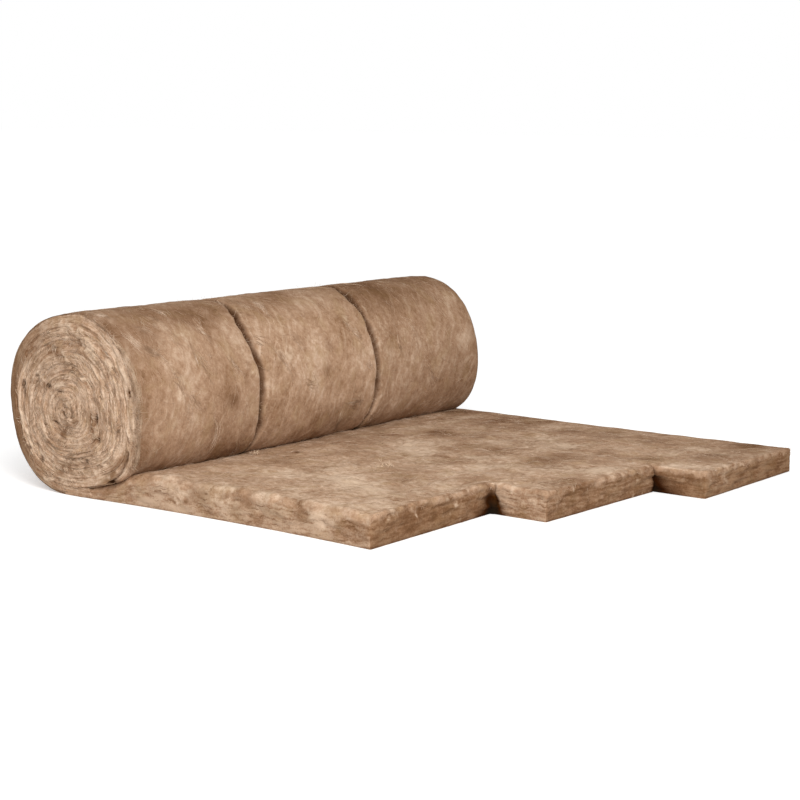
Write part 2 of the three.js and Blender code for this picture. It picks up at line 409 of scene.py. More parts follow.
def in_band(turned):
    """How far a place, in degrees round the roll, lies in the smooth band of the near end that painted shade
    darkens, 0 to 1.
    """
    return bell(turned, band_angle, band_spread)


def thinned(run):
    """How much the blanket is thinned so near to its hidden ends: evenly over a short run."""
    return end_thinning * (1 - ramp(run, end_run))


def patched(tan, pale, squared, where, amount, brownness=1):
    """Brown and pale marks with one more soft patch, e to minus the squared distance in spreads. It is pale
    where its amount is above 0, and brown below that."""
    patch = np.exp(-squared) * where
    return tan + brownness * patch * max(0, -amount), pale + patch * max(0, amount)


face_step = 0.0056
lip_step = 0.0012
lip_reach = 0.022
hidden_count = 36
outer_edge_points = 13
lane_edges = [lane * lane_width for lane in range(lane_count + 1)]
columns = graded(lane_edges, face_step, lip_step, lip_reach)
columns[0] = rim_depth
columns[-1] = blanket_width - rim_depth
columns = np.sort(columns)
hidden_columns = np.linspace(columns[0], columns[-1], hidden_count)
stations = np.linspace(outer_start, outer_end, int((outer_end - outer_start) * roll_radius / turn_step))
across, depth, hollow = section_loop(columns, hidden_columns, outer_edge_points)
angle = stations[:, None]
turned = np.degrees(angle)
slit_shift, slit_sink, slit_painted_shade = np.zeros((3, len(stations), len(across)))
for cut in range(lane_count - 1):
    slit_place = (cut + 1) * lane_width
    pull = 1 - ramp(np.abs(across - slit_place), lane_width / 2)
    slit_shift += pull * slit_offset(cut, angle)
    torn = lumps(angle * (roll_radius, 0, 0), 0.02, slit_seed + cut)[:, None]
    width = slit_half_width * (1 + slit_waver * np.sin(9 * angle + cut) + slit_tear * torn)
    width = width * np.interp(turned, slit_foot, slit_narrowing)
    sink = slit_depth / (1 + (np.abs(across - slit_place) / width) ** slit_squareness) * (depth == 0)
    sink = sink * np.interp(turned, slit_turns, slit_shallows)
    slit_sink += sink
    # Painted shade in the slit's hollow, growing with its depth.
    dark = slit_darks[cut] * np.interp(turned, slit_fade, slit_fade_shares)
    slit_painted_shade = np.maximum(slit_painted_shade, dark * ramp(1.8 * sink, slit_depth))
lane_place = (across % lane_width) / lane_width
crown = lane_crown * (1 - (2 * lane_place - 1) ** 6)
from_slit = np.abs((across + lane_width / 2) % lane_width - lane_width / 2)
beside_slit = np.abs(across / lane_width - lane_count / 2) < 1
lips = bell(from_slit, 2.0 * slit_half_width, 0.5 * slit_half_width) * beside_slit
depth = np.broadcast_to(depth, slit_shift.shape)
on_face = depth == 0
outer_lips = lips * on_face
length = np.broadcast_to(blanket_length(angle), depth.shape)
along_seam = np.stack([length, length * 0, length * 0], axis=-1)
seam_share = 0.12 + 0.50 * blotches(along_seam, 0.05, 20, 0, 2.4)
hollow_depth = np.where(depth < 0.5, rim_depth, edge_depth * seam_share)
shoulder = shoulder_depth * in_band(turned) * (1 - depth) * (1 - ramp(across, near_side))
across = across + slit_shift - hollow_depth * hollow + shoulder
places, wool, on_edge, pits, tufts, browns = wound_points(angle, length, depth, across)
smooth_edge = 1 - 0.75 * in_band(turned)
edge_heights = edge_nap(wool, places, depth) * smooth_edge - pit_depth * pits + tuft_stand * tufts
heights = np.where(on_edge, edge_heights, nap(wool) - slit_sink + crown)
from_rim = np.maximum(across - 0.004, 0) + turn_pitch * depth
rim_rough = 0.0022 * bell(turned, rim_angle, 45) * fading(from_rim, 0.010)
heights = heights + rim_rough * lumps(places, 0.010, 51, octaves=2)
heights = np.where(depth == 1, -0.001, heights)
# Painted shade darkens the slits, the pits, the open seams between the turns and the gaps of the torn rim.
deep = slit_painted_shade + pit_painted_shade * pits
deep = deep + 0.28 * np.abs(hollow) * seam_share * (depth > 0.5)
rim_gap_shade = blotches(wool, (0.018, 0.005, 0.005), 52, -0.4, 2.5) * bell(turned, rim_angle, 42)
rim_gap_shade = rim_gap_shade * fading(across, 0.007)
deep = deep + 0.50 * rim_gap_shade * (depth < 0.5)
heights = heights - (thinned(angle - outer_start) + thinned(outer_end - angle))
lane_here = (across // lane_width).astype(int).clip(0, lane_count - 1)
face_painted_shade = np.take(lane_painted_shades, lane_here)
face_painted_shade = bell(turned, top_angle, top_spread) * np.take(lane_top_painted_shades, lane_here) + face_painted_shade
# Painted shade darkens the lanes' faces, most over the top and on the far lane, and towards the far rim.
tan = (face_painted_shade + 0.5 * fading(blanket_width - across, 0.018)) * on_face
# Painted shade darkens the band on the near end, and the brown places on the end add to it.
shade = 1.15 * in_band(turned) * (on_edge & (across < near_side)) + brown_strength * browns
pale = tufts + 0.4 * outer_lips * blotches(wool, 0.025, 22, 0.4, 2)
ragged = 1 + 0.6 * lumps(wool, 0.045, 27, octaves=2)
for patch_angle, patch_place, turn_spread, spread, amount in face_patches:
    squared = ((turned - patch_angle) / turn_spread) ** 2 + ((across - patch_place) / spread) ** 2
    tan, pale = patched(tan, pale, squared * ragged, on_face, amount)
marks = {"deep": deep, "cut": on_edge * 1.0, "shade": shade, "tan": tan, "pale": pale}
outer_turn = mesh_piece("outer_turn", places, strip_faces(*across.shape), wool, marks)
outer_places = move_out(outer_turn, places, heights)
outer_marks = blanket_length(stations)
face_columns = columns

# Inner turns
# The same blanket wound on inwards to a tight eye. Only its cut edges are seen, at both ends of the roll,
# where each turn bulges a little past the seams that part it from its neighbours.
inner_step = 0.0042
inner_start = np.radians(350)
band_share = 0.70
table_angles = np.linspace(inner_start, winding_end, 4000)
wound = blanket_length(table_angles)
stations = np.interp(np.arange(wound[0], wound[-1], inner_step), wound, table_angles)
fringe = np.array([edge_depth, 0.014, 0.022, 0.04, 0.08])
inner_columns = np.concatenate([fringe, [blanket_width / 2], blanket_width - fringe[::-1]])
edge_points = 15
across, depth, hollow = section_loop(inner_columns, inner_columns, edge_points)
inner_edge_share = depth[len(inner_columns):][:edge_points]
inner_marks = blanket_length(stations)
angle = stations[:, None]
length = np.broadcast_to(blanket_length(angle), (len(stations), len(across)))
depth = np.broadcast_to(depth, length.shape)
along_seam = np.stack([length, depth * 0.2, length * 0], axis=-1)
openness = 0.05 + 0.15 * blotches(along_seam, 0.036, 21, -2.2, 5)
across = across - edge_depth * hollow * openness
places, wool, on_edge, pits, tufts, browns = wound_points(angle, length, depth, across)
heights = np.where(on_edge, edge_nap(wool, places, depth) - pit_depth * pits + tuft_stand * tufts, 0)
# Painted shade darkens the open seams and the pits.
deep = (0.40 * np.abs(hollow) * openness + pit_painted_shade * pits) * (1 - tufts)
heights = heights - thinned(angle - inner_start)
# Painted shade carries the band on over the outer part of the second turn, with a pale line at its border.
band = in_band(np.degrees(angle) - 360) * (angle < 2 * full_turn) * on_edge * (across < near_side)
band_border = band * bell(depth, band_share, 0.07)
shade = band * ramp(band_share - depth, 0.12) + brown_strength * browns
pale = tufts + 0.6 * band_border
marks = {"deep": deep, "cut": on_edge * 1.0, "shade": shade, "tan": depth * 0, "pale": pale}
inner_turns = mesh_piece("inner_turns", places, strip_faces(*across.shape), wool, marks)
inner_places = move_out(inner_turns, places, heights)

# Laid part
# The blanket's free end, which has swelled again to its loft as it left the roll. It gets thinner towards the
# far side, its long sides draw in a little, and its three lanes are trimmed in steps with upright cut faces.
near_thickness = 0.065
far_thickness = 0.051
side_bow = 0.014
wave_height = 0.0015
wave_pitch = 0.085
crease_height = 0.050
crease_height_near = 0.056
swell_length = 0.055
plan_radius = 0.005
top_radius = 0.010
side_radius = 0.014
side_top_radius = 0.026
far_top_radius = 0.004
floor_radius = 0.0015
front_skews = [(0.0, -0.007), (-0.005, 0.006), (0.0, 0.0)]
skew_run = 0.12
# The notches' painted shadows: their runs along the side and the front, shrinking upwards, and their
# strengths.
notch_side_runs = [(0.0215, 0.0275), (0.0420, 0.0420)]
notch_front_runs = [(0.032, 0.024), (0.007, 0.006)]
notch_darks = [0.98, 0.90]
notch_depth = 0.003
halving = 0.69
brown_left = 0.15
screen_power = 2.2
fluff_drop = 0.026
front_fluff_drop = 0.018
front_shades = [0.80, 0.58, 0.60]
# Soft patches, mostly of the near side: (place, place across, height, size, how pale).
side_patches = [
    (0.258, 0, 0.05, 0.018, 0.45), (0.225, 0.018, 0.064, 0.015, 0.38), (0.275, 0, 0.03, 0.014, 0.36),
    (0.372, 0.004, 0.062, 0.02, 0.46), (0.38, 0, 0.036, 0.014, 0.36), (0.462, 0.006, 0.064, 0.016, 0.36),
    (0.49, 0.004, 0.066, 0.012, 0.36), (0.487, 0.07, 0.064, 0.014, 0.45), (0.598, 0, 0.058, 0.02, 0.36),
    (0.612, 0, 0.028, 0.016, 0.26), (0.704, 0.012, 0.063, 0.014, 0.18), (0.668, 0.012, 0.063, 0.014, 0.18),
    (0.75, 0.069, 0.062, 0.012, 0.4), (0.322, 0, 0.054, 0.022, -0.3), (0.438, 0, 0.056, 0.016, -0.1),
    (0.6, 0.165, 0.06, 0.055, 0.36), (0.46, 0.23, 0.06, 0.05, 0.36), (0.69, 0.08, 0.065, 0.035, 0.36),
    (0.69, 0.3, 0.06, 0.045, 0.36), (0.82, 0.42, 0.055, 0.04, 0.36), (0.8, 0.62, 0.055, 0.05, 0.36),
    (0.7, 0.56, 0.055, 0.05, 0.36), (0.48, 0.48, 0.06, 0.05, 0.36), (0.94, 0.8, 0.05, 0.035, 0.36),
    (0.9, 0.98, 0.05, 0.05, 0.36), (0.56, 0.8, 0.055, 0.06, 0.36), (0.35, 0.62, 0.055, 0.05, 0.36),
]
# Soft patches of the top: (place, place across, spread along the combing, spread across it, how pale).
top_patches = [
    (0.614, 0.842, 0.034, 0.028, 0.3), (0.499, 0.924, 0.016, 0.017, 0.25), (0.72, 0.869, 0.02, 0.022, 0.28),
    (0.543, 0.604, 0.03, 0.022, 0.22), (0.649, 0.536, 0.034, 0.022, 0.22), (0.814, 0.631, 0.04, 0.022, 0.22),
    (0.965, 0.852, 0.018, 0.028, 0.32), (0.75, 1.019, 0.02, 0.017, 0.25), (0.485, 0.242, 0.044, 0.028, 0.25),
    (0.605, 0.18, 0.02, 0.028, 0.28), (0.612, 0.295, 0.04, 0.022, 0.22), (0.899, 0.841, 0.02, 0.022, 0.22),
    (0.736, 0.608, 0.032, 0.017, -0.25), (0.653, 0.595, 0.024, 0.013, -0.15), (0.61, 0.44, 0.03, 0.02, 0.2),
    (0.411, 0.802, 0.014, 0.017, -0.45), (0.478, 0.825, 0.02, 0.017, -0.4),
    (0.401, 1.015, 0.02, 0.017, -0.45), (0.502, 1.047, 0.016, 0.017, -0.45),
    (0.81, 0.795, 0.026, 0.013, -0.4), (0.872, 0.935, 0.032, 0.013, -0.4), (0.65, 0.904, 0.02, 0.017, -0.35),
    (0.413, 0.355, 0.02, 0.017, -0.3), (0.42, 0.56, 0.03, 0.03, 0.25),
]
top_combing = np.radians(40)
top_brownness = 0.6
twig_place = (0.235, 0.400)
twig_size = 0.007
twig_dark = 1.1
trimmed_step = 0.0022
trimmed_reach = 0.03
square_from = 0.30
hair = 1e-6
under_count = 12
under_end = np.radians(368)


def crease_at(across):
    """(angle, place, height) at which the outermost turn comes down on the laid part, found by halving."""
    height = crease_height + (crease_height_near - crease_height) * fading(across, 0.15)
    above = np.full_like(across, 0.75 * full_turn)
    below = np.full_like(across, full_turn)
    for _ in range(30):
        middle = (above + below) / 2
        high = winding(middle, across)[1] > height
        above = np.where(high, middle, above)
        below = np.where(high, below, middle)
    return above, *winding(above, across)


def laid_top(x, across, crease_x, crease_z):
    """Height of the laid top: it swells out of the crease as 1 - e^(-distance) and runs on in soft waves,
    less the even thinning from side to side."""
    swelling = 1 - fading(x - crease_x, swell_length)
    wave = wave_height * (np.sin(full_turn * (x - crease_x) / wave_pitch) - 1)
    wave = wave * (1 - 0.8 * across / blanket_width)
    thinning = (near_thickness - far_thickness) * across / blanket_width
    hump = 0.004 * bell(x, 0.215, 0.045) * fading(across, 0.12)
    return crease_z + (near_thickness - crease_z + wave - thinning) * swelling + hump


columns = graded(lane_edges, face_step, trimmed_step, trimmed_reach)
crease_angle, crease_x, crease_z = crease_at(columns)
under_share = np.linspace(0, 1, under_count)[:, None]
under_angle = under_end + (crease_angle - under_end) * under_share
under_x, under_z = winding(under_angle, columns)
swell_share = np.linspace(0, 1, int((square_from - crease_x.mean()) / face_step))[1:-1, None]
swell_x = crease_x + (square_from - crease_x) * swell_share
row_places = graded([square_from, *lane_reaches], face_step, trimmed_step, trimmed_reach)
row_x = np.repeat(row_places[:, None], len(columns), axis=1)
plan_x = np.concatenate([under_x, swell_x, row_x])
plan_y = np.broadcast_to(columns, plan_x.shape)
top_z = np.concatenate([under_z, laid_top(plan_x[under_count:], columns, crease_x, crease_z)])
top_z = np.maximum(top_z, 0.004)
rows = len(plan_x)
reach_rows = [int(np.abs(plan_x[:, 0] - reach).argmin()) for reach in lane_reaches]
lane_columns = [int(np.abs(columns - edge).argmin()) for edge in lane_edges]

outline = []
for lane in range(lane_count):
    first, last = lane_columns[lane], lane_columns[lane + 1]
    side_start = 0 if lane == 0 else reach_rows[lane - 1]
    outline += [(row, first) for row in range(side_start, reach_rows[lane])]
    outline += [(reach_rows[lane], column) for column in range(first, last)]
outline += [(row, lane_columns[-1]) for row in range(reach_rows[-1], 0, -1)]
outline += [(0, column) for column in range(lane_columns[-1], 0, -1)]
outline = np.array(outline)
levels = graded([0, 1], 0.045, 0.03, 0.2)[1:-1][::-1, None]
wall_x = np.broadcast_to(plan_x[outline[:, 0], outline[:, 1]], (len(levels), len(outline)))
wall_y = np.broadcast_to(columns[outline[:, 1]], wall_x.shape)
wall_top = np.broadcast_to(top_z[outline[:, 0], outline[:, 1]], wall_x.shape)
wall_level = np.broadcast_to(levels, wall_x.shape)

# All points, those of the top, the floor and the walls: their plan, the top's height there, and how high up
# from the floor, 0, to the top, 1, they lie.
x, y, top, level = (
    np.concatenate([upper.ravel(), lower.ravel(), wall.ravel()]) for upper, lower, wall in (
        (plan_x, plan_x, wall_x), (plan_y, plan_y, wall_y), (top_z, top_z, wall_top),
        (np.ones(plan_x.shape), np.zeros(plan_x.shape), wall_level),
    )
)
sharp = np.stack([x, y, level * top], axis=-1)

top_index = np.arange(plan_x.size).reshape(plan_x.shape)
floor_index = top_index + plan_x.size
wall_index = np.arange(wall_x.size).reshape(wall_x.shape) + 2 * plan_x.size
wall_index = np.concatenate([
    top_index[outline[:, 0], outline[:, 1]][None],
    wall_index,
    floor_index[outline[:, 0], outline[:, 1]][None],
])
reach_row_of = np.repeat(reach_rows, np.diff(lane_columns))
kept = np.arange(rows - 1)[:, None] < reach_row_of[None, :]


def cell_quads(index, keep=True):
    """Quads of a grid's cells, turning from rows to columns, without the cells that aren't kept."""
    quads = np.stack([index[:-1, :-1], index[1:, :-1], index[1:, 1:], index[:-1, 1:]], axis=-1)
    return quads[np.broadcast_to(keep, quads.shape[:2])]


faces = np.concatenate([
    cell_quads(top_index, kept),
    cell_quads(floor_index, kept)[:, ::-1],
    cell_quads(np.concatenate([wall_index, wall_index[:, :1]], axis=1)),
])

# Each sharp point is rounded off: it is drawn to an ellipsoid about the nearest place of an inset outline.
# The near long side, which was never trimmed, is rounder than the lanes' ends.
nearest = np.full(len(sharp), np.inf)
rounded = sharp.copy()
low_z = np.minimum(floor_radius, top / 3)
round_z = top_radius + (side_top_radius - top_radius) * fading(y, 0.030)
round_z = round_z + (far_top_radius - top_radius) * fading(blanket_width - y, 0.060)
high_z = np.maximum(top - round_z, low_z)
near_inset = plan_radius + (side_radius - plan_radius) * level ** 2
for lane in range(lane_count):
    inset = near_inset if lane == 0 else np.full(len(x), plan_radius)
    core = np.stack([
        np.minimum(x, lane_reaches[lane] - plan_radius),
        np.clip(y, lane * lane_width + inset, blanket_width - plan_radius),
        np.clip(sharp[:, 2], low_z, high_z),
    ], axis=-1)
    radius_y = np.where(y < blanket_width / 2, inset, plan_radius)
    radius_z = np.where(sharp[:, 2] > high_z, top - high_z, low_z)
    radii = np.stack([np.full(len(x), plan_radius), radius_y, radius_z], axis=-1)
    away = (sharp - core) / radii
    distance = np.linalg.norm(away[:, :2], axis=-1)
    size = np.maximum(np.linalg.norm(away, axis=-1, keepdims=True), 1e-9)
    closer = distance < nearest
    rounded = np.where(closer[:, None], core + away / size * radii * (size > hair), rounded)
    nearest = np.where(closer, distance, nearest)
for reach, from_side, bow in (
    (lane_reaches[0], y, side_bow), (lane_reaches[-1], blanket_width - y, -side_bow)
):
    run = ramp(x, reach)
    rounded[:, 1] += bow * 4 * run * (1 - run) * (1 - ramp(from_side, lane_width))
for lane, (near_skew, far_skew) in enumerate(front_skews):
    share_across = y / lane_width - lane
    in_lane = (share_across >= 0) & (share_across < 1)
    run = ramp(x - lane_reaches[lane] + skew_run, skew_run)
    rounded[:, 0] += in_lane * run * (near_skew + (far_skew - near_skew) * share_across)
wool = np.stack([-rounded[:, 0], rounded[:, 1], level * loft], axis=-1)
on_top = level == 1

# In each notch a painted shadow darkens the wool over a shallow hollow, widest at the floor. How dark it
# looks is turned into a share of brown, and past that of black, by the screen's own curve, a power of 2.2.
deep = np.zeros(len(x))
for lane in range(lane_count - 1):
    along = x - lane_reaches[lane]
    beside = (lane + 1) * lane_width - y
    on_side = (np.abs(beside) < hair) & (along >= 0)
    on_front = (np.abs(along) < hair) & (beside >= 0) & (beside < lane_width)
    side_run = np.maximum(notch_side_runs[lane][0] - notch_side_runs[lane][1] * level, 0.003)
    front_run = notch_front_runs[lane][0] - notch_front_runs[lane][1] * level
    side_share = np.exp(-halving * np.abs(along / side_run) ** 2.2) * on_side
    front_share = np.exp(-halving * np.abs(beside / front_run) ** 2) * on_front
    rounded[:, 1] += notch_depth * side_share ** 2 * ramp(level, 0.1) * (level < 1)
    under_fluff = ramp(0.95 - level, 0.15)
    looks = notch_darks[lane] * (0.92 - 0.20 * level - 0.72 * level ** 2) * under_fluff
    looks = looks * np.maximum(side_share, front_share)
    left = (1 - np.clip(looks, 0, 1) * (level < 1)) ** screen_power
    browned = (1 - left) / (1 - brown_left)
    deep = np.maximum(deep, np.where(left > brown_left, browned, 2 - left / brown_left))
places = rounded + [eye_line, near_end, 0]

# The fluff of the top hangs over the trimmed edges, and the layers show below it. The lanes' ends are cut
# cleaner than the long sides. Painted shade makes the last lane's end and side the darkest.
on_wall = (level > 0) & (level < 1)
lane_of = np.minimum(y // lane_width, lane_count - 1).astype(int)
reach_here = np.take(lane_reaches, lane_of)
on_end = on_wall & (x > reach_here - hair)
on_middle_side = on_wall & (x > lane_reaches[0] + hair) & (y < lane_width + hair) & ~on_end
on_last_side = on_wall & (x > lane_reaches[1] + hair) & (y < 2 * lane_width + hair) & ~on_end
below = (1 - level) * top
is_trimmed = on_end | on_middle_side | on_last_side
cut = on_wall * ramp(below, np.where(is_trimmed, front_fluff_drop, fluff_drop))
from_edge = np.minimum(reach_here - x, np.where(x > lane_reaches[0], 1, y))
edge_fluff = fading(from_edge, 0.014) * (1 - cut)
far_calm = 0.12 + 0.88 * ramp(blanket_width - y, 0.15)
fluff = 0.0025 * edge_fluff * lumps(wool, (0.020, 0.020, 0.5), 24, octaves=2)
top_heights = (nap(wool) * 2.2 + fluff) * far_calm * (1 - cut)
heights = top_heights + edge_nap(wool, places, 0.5) * cut * ramp(level, 0.2) * far_calm
heights = np.where(level == 0, 0, heights)
# The shade mark darkens the walls below the fluff. It is painted shade that grows along the near side towards
# its end, and that is strongest on the last lane's side and, towards the far side, on its end.
last_end = ramp(y - 2.2 * lane_width, 0.8 * lane_width)
front_shade = on_end * (np.take(front_shades, lane_of) + 0.15 * last_end)
side_shade = 0.43 + 0.17 * ramp(x, lane_reaches[0]) * (y < hair)
side_shade = side_shade + 0.17 * on_middle_side + 0.78 * on_last_side
shade = on_wall * np.where(on_end, 0.38 + front_shade, side_shade)
# Painted shade: a dark line at the foot of the lanes' ends, and a broken line of shadow under the fluff that
# hangs over the walls.
overhang_shadow = bell(below, 0.010, 0.004) * blotches(wool, (0.016, 0.016, 0.5), 28, -0.6, 3)
deep = deep + 0.75 * on_end * fading(level, 0.05) + (0.15 * on_end + 0.06) * on_wall * overhang_shadow
mottle = lumps(wool * (1, 1, 0), (0.075, 0.100, 1), 41, octaves=3)
# Painted shade: the mottled tan is scaled by a shade that grows towards the far side, most near the roll.
far_painted_shade = 0.12 + 0.60 * ramp(y, 0.6) + 0.5 * ramp(y - 0.65, 0.3) * np.exp(-x / 0.5)
tan = (np.clip(0.58 * mottle, 0, 1) + 0.11) * far_painted_shade * (1 - cut)
tan = tan + 0.35 * bell(y, blanket_width, 0.20) * bell(x, 0.96, 0.12)
# Painted shade over the far lanes' top, near the crease.
tan = tan + 0.22 * ramp(y - 0.45, 0.4) * bell(x, 0.30, 0.30) * on_top
pale = 0.10 * edge_fluff * blotches(wool, (0.04, 0.04, 0.5), 25, 0.5, 1.5)
# Painted light: the top is paler towards the near side.
near_painted_light = 0.31 * fading(y, 0.42)
pale = pale + (np.clip(-0.50 * mottle - 0.05, 0, 1) + near_painted_light) * on_top * (1 - edge_fluff)
ragged = np.maximum(1 + 0.8 * lumps(wool, 0.014, 26, octaves=2), 0)
for *middle, size, amount in side_patches:
    squared = sum(((along - place) / size) ** 2 for along, place in zip((x, y, level * top), middle))
    tan, pale = patched(tan, pale, 0.55 * squared * ragged, 1, amount)
ragged = 1 + 0.6 * lumps(wool, 0.030, 29, octaves=2)
for patch_x, patch_y, spread_along, spread_across, amount in top_patches:
    along = (x - patch_x) * np.cos(top_combing) + (y - patch_y) * np.sin(top_combing)
    aside = (y - patch_y) * np.cos(top_combing) - (x - patch_x) * np.sin(top_combing)
    squared = (along / spread_along) ** 2 + (aside / spread_across) ** 2
    tan, pale = patched(tan, pale, squared * ragged, on_top, amount, top_brownness)
rolled_over = fading(y, 0.018) * (level > 0.4) * (x > 0.25)
tan = tan + 0.40 * rolled_over * blotches(wool, (0.045, 0.030, 0.03), 34, 0.15, 1.6, octaves=3)
# Painted shade, broken by blotches, on the rounded top edges of the lanes' ends, where the light catches
# them.
trimmed = fading(reach_here - x, 0.007) * (1 - cut)
tan = tan + 0.70 * trimmed * blotches(wool, (0.016, 0.016, 0.5), 30, 0.3, 1.6, octaves=2)
twig = bell(np.hypot(x - twig_place[0], y - twig_place[1]), 0, twig_size) * on_top
deep = deep + twig_dark * twig
marks = {"deep": deep, "cut": cut, "shade": shade * (1 - 0.8 * np.clip(pale, 0, 1)), "tan": tan, "pale": pale}
used, compact = np.unique(faces, return_inverse=True)
faces = compact.reshape(faces.shape)
marks = {mark: values[used] for mark, values in marks.items()}
laid_part = mesh_piece("laid_part", places[used], faces, wool[used], marks)
laid_places = move_out(laid_part, places[used], heights[used])

# Wool
# Glass fibre of a warm brown, bound with resin: no two handfuls are alike. Its material is reckoned in the
# unrolled blanket's own length, width and depth, so that layers and combed fibres run on round the roll.


class Strand:
    """A shader socket to reckon with: a sum, difference or product adds its Math node."""

    def __init__(self, tree, socket=None):
        self.tree = tree
        self.socket = socket

    def add(self, kind, settings=(), inputs=(), output=0):
        """A new node of a kind, with its settings first and then its sockets' values or links."""
        node = self.tree.nodes.new(kind)
        for name, value in dict(settings).items():
            if name == "stops":
                while len(node.color_ramp.elements) < len(value):
                    node.color_ramp.elements.new(0.5)
                for element, (place, colour) in zip(node.color_ramp.elements, value):
                    element.position = place
                    element.color = colour
            else:
                setattr(node, name, value)
        for name, value in dict(inputs).items():
            if isinstance(value, Strand):
                self.tree.links.new(value.socket, node.inputs[name])
            else:
                node.inputs[name].default_value = value
        return Strand(self.tree, node.outputs[output] if node.outputs else None)

    def math(self, operation, *values, kind="ShaderNodeMath"):
        """Numbers, or vectors where the kind is Vector Math, put through one operation."""
        return self.add(kind, {"operation": operation}, dict(enumerate(values)))

    def __add__(self, other):
        return self.math("ADD", self, other)

    def __sub__(self, other):
        return self.math("SUBTRACT", self, other)

    def __rsub__(self, other):
        return self.math("SUBTRACT", other, self)

    def __mul__(self, other):
        return self.math("MULTIPLY", self, other)

    __radd__ = __add__
    __rmul__ = __mul__

    def mark(self, name):
        """The mesh's mark of a name."""
        return self.add("ShaderNodeAttribute", {"attribute_name": name}, output="Fac")

    def picked(self, *stops):
        """A colour ramp's colour at this place on it, from stops (place, red, green, blue)."""
        stops = [(place, linear(*colour)) for place, *colour in stops]
        return self.add("ShaderNodeValToRGB", {"stops": stops}, {"Fac": self})

    def between(self, low, high):
        """0 below low and 1 above high, eased between."""
        return self.add(
            "ShaderNodeMapRange",
            {"interpolation_type": "SMOOTHSTEP"},
            {"Value": self, "From Min": low, "From Max": high},
        )


def linear(red, green, blue):
    """A colour as the shader wants it, from its usual values of 0 to 255, by the screen's standard curve."""
    value = np.array([red, green, blue]) / 255
    return (*np.where(value <= 0.04045, value / 12.92, ((value + 0.055) / 1.055) ** 2.4), 1)


def blank(owner):
    """The first strand of the emptied node tree of a material or of the world."""
    owner.use_nodes = True
    owner.node_tree.nodes.clear()
    return Strand(owner.node_tree)


def noise(place, size, detail=2.0, roughness=0.5, output=0):
    """Noise whose grain is about size metres, read at a place."""
    return place.add(
        "ShaderNodeTexNoise",
        {"noise_dimensions": "3D"},
        {"Vector": place, "Scale": 1 / size, "Detail": detail, "Roughness": roughness},
        output,
    )


def stretched(place, sizes, turn=0.0):
    """A place in units of its own sizes along length, width and depth, after a turn in the blanket's face."""
    for change in ({"Rotation": (0, 0, turn)}, {"Scale": tuple(1 / size for size in sizes)}):
        place = place.add("ShaderNodeMapping", {"vector_type": "POINT"}, {"Vector": place, **change})
    return place


def swayed(place, sway, amount):
    """A place moved aside by a coloured noise, by up to half the amount each way."""
    vector_math = "ShaderNodeVectorMath"
    sway = place.math("SUBTRACT", sway, (0.5, 0.5, 0.5), kind=vector_math)
    sway = place.add(vector_math, {"operation": "SCALE"}, {0: sway, "Scale": amount})
    return place.math("ADD", place, sway, kind=vector_math)


def mixed(share, first, second, blend="MIX"):
    """One colour over another, by a share of it."""
    return share.add(
        "ShaderNodeMix",
        {"data_type": "RGBA", "blend_type": blend, "clamp_factor": True},
        {0: share, 6: first, 7: second},
        2,
    )


